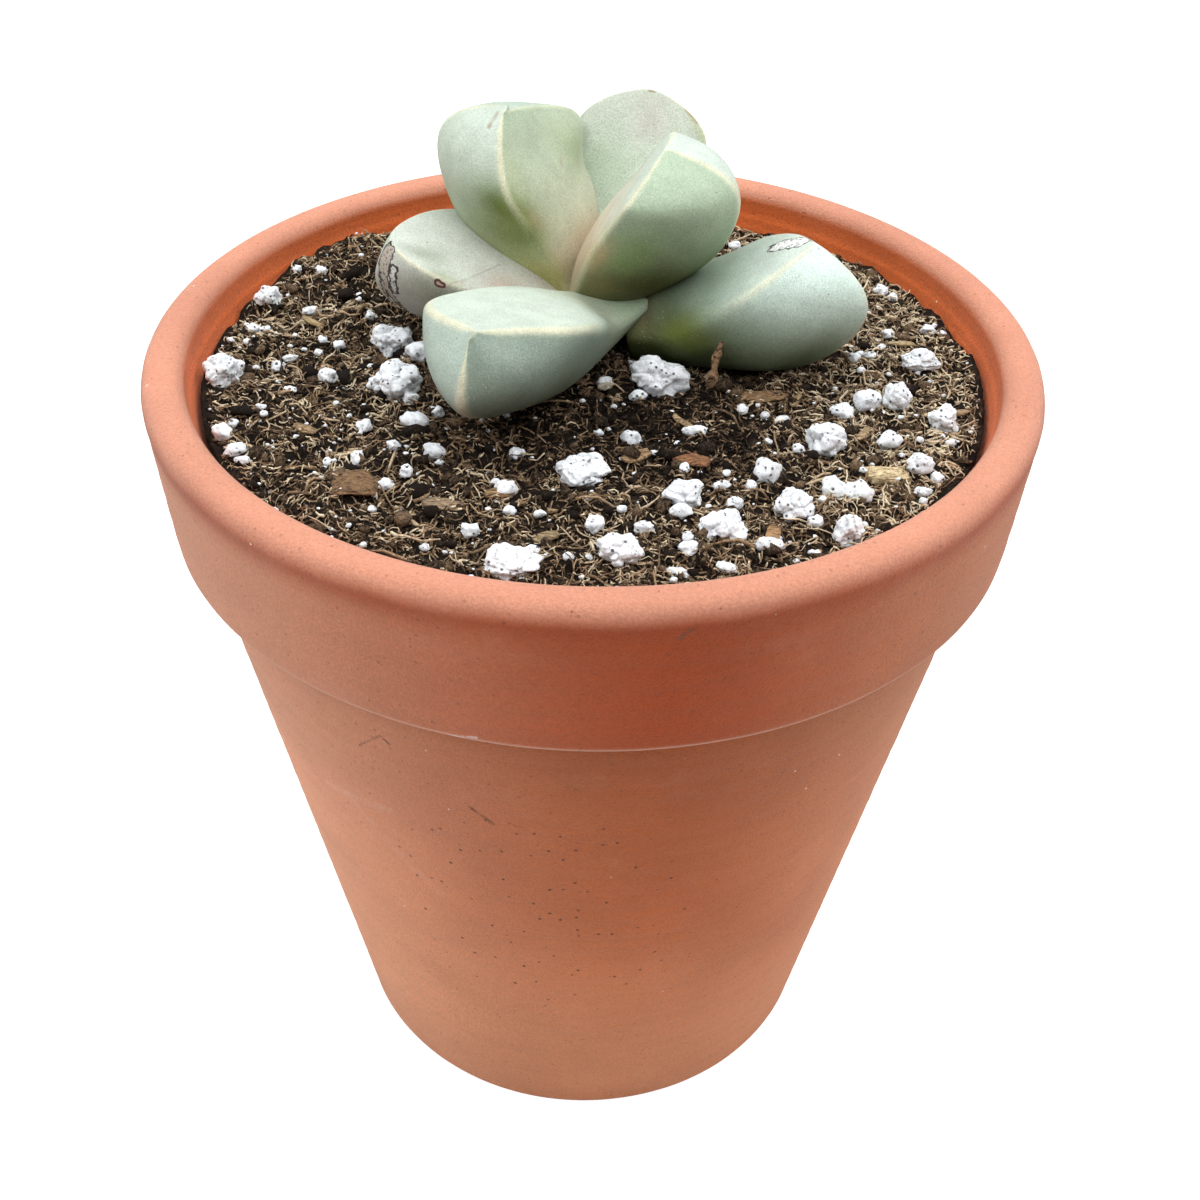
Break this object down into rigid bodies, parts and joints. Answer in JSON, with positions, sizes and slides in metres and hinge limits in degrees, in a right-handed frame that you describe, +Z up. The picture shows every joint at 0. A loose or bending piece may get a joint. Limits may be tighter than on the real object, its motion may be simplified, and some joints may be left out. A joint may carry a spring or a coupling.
{
  "type": "potted karoo rose",
  "caption": "Karoo rose, a stone-like succulent with thick keeled leaves in crossed pairs, in a plain clay flower pot filled with peat and white perlite.",
  "frame": {"origin": "middle of the pot's foot, on the surface that the pot stands on", "axes": "+Z up along the pot's axis, -Y towards the side that the picture shows, +X to that side's right"},
  "size_m": [0.082, 0.082, 0.0994],
  "materials": {
    "clay": "matte fired clay",
    "peat": "matte loose peat",
    "stem": "matte",
    "leaf": "satin, with a waxy bloom",
    "perlite": "matte",
    "wood": "matte",
    "dry_leaf": "matte"
  },
  "bodies": {
    "root": {"pot": "clay", "soil": "peat", "stem": "stem", "leaf_inner_left": "leaf", "leaf_inner_right": "leaf", "leaf_middle_front": "leaf", "leaf_middle_back": "leaf", "leaf_outer_left": "leaf", "leaf_outer_right": "leaf", "perlite_01": "perlite", "perlite_02": "perlite", "perlite_03": "perlite", "perlite_04": "perlite", "perlite_05": "perlite", "perlite_06": "perlite", "perlite_07": "perlite", "perlite_08": "perlite", "perlite_09": "perlite", "perlite_10": "perlite", "perlite_11": "perlite", "perlite_12": "perlite", "perlite_13": "perlite", "perlite_14": "perlite", "perlite_15": "perlite", "perlite_16": "perlite", "wood_chip": "wood", "bark_flake": "dry_leaf", "dry_scale": "dry_leaf"}
  },
  "joints": []
}
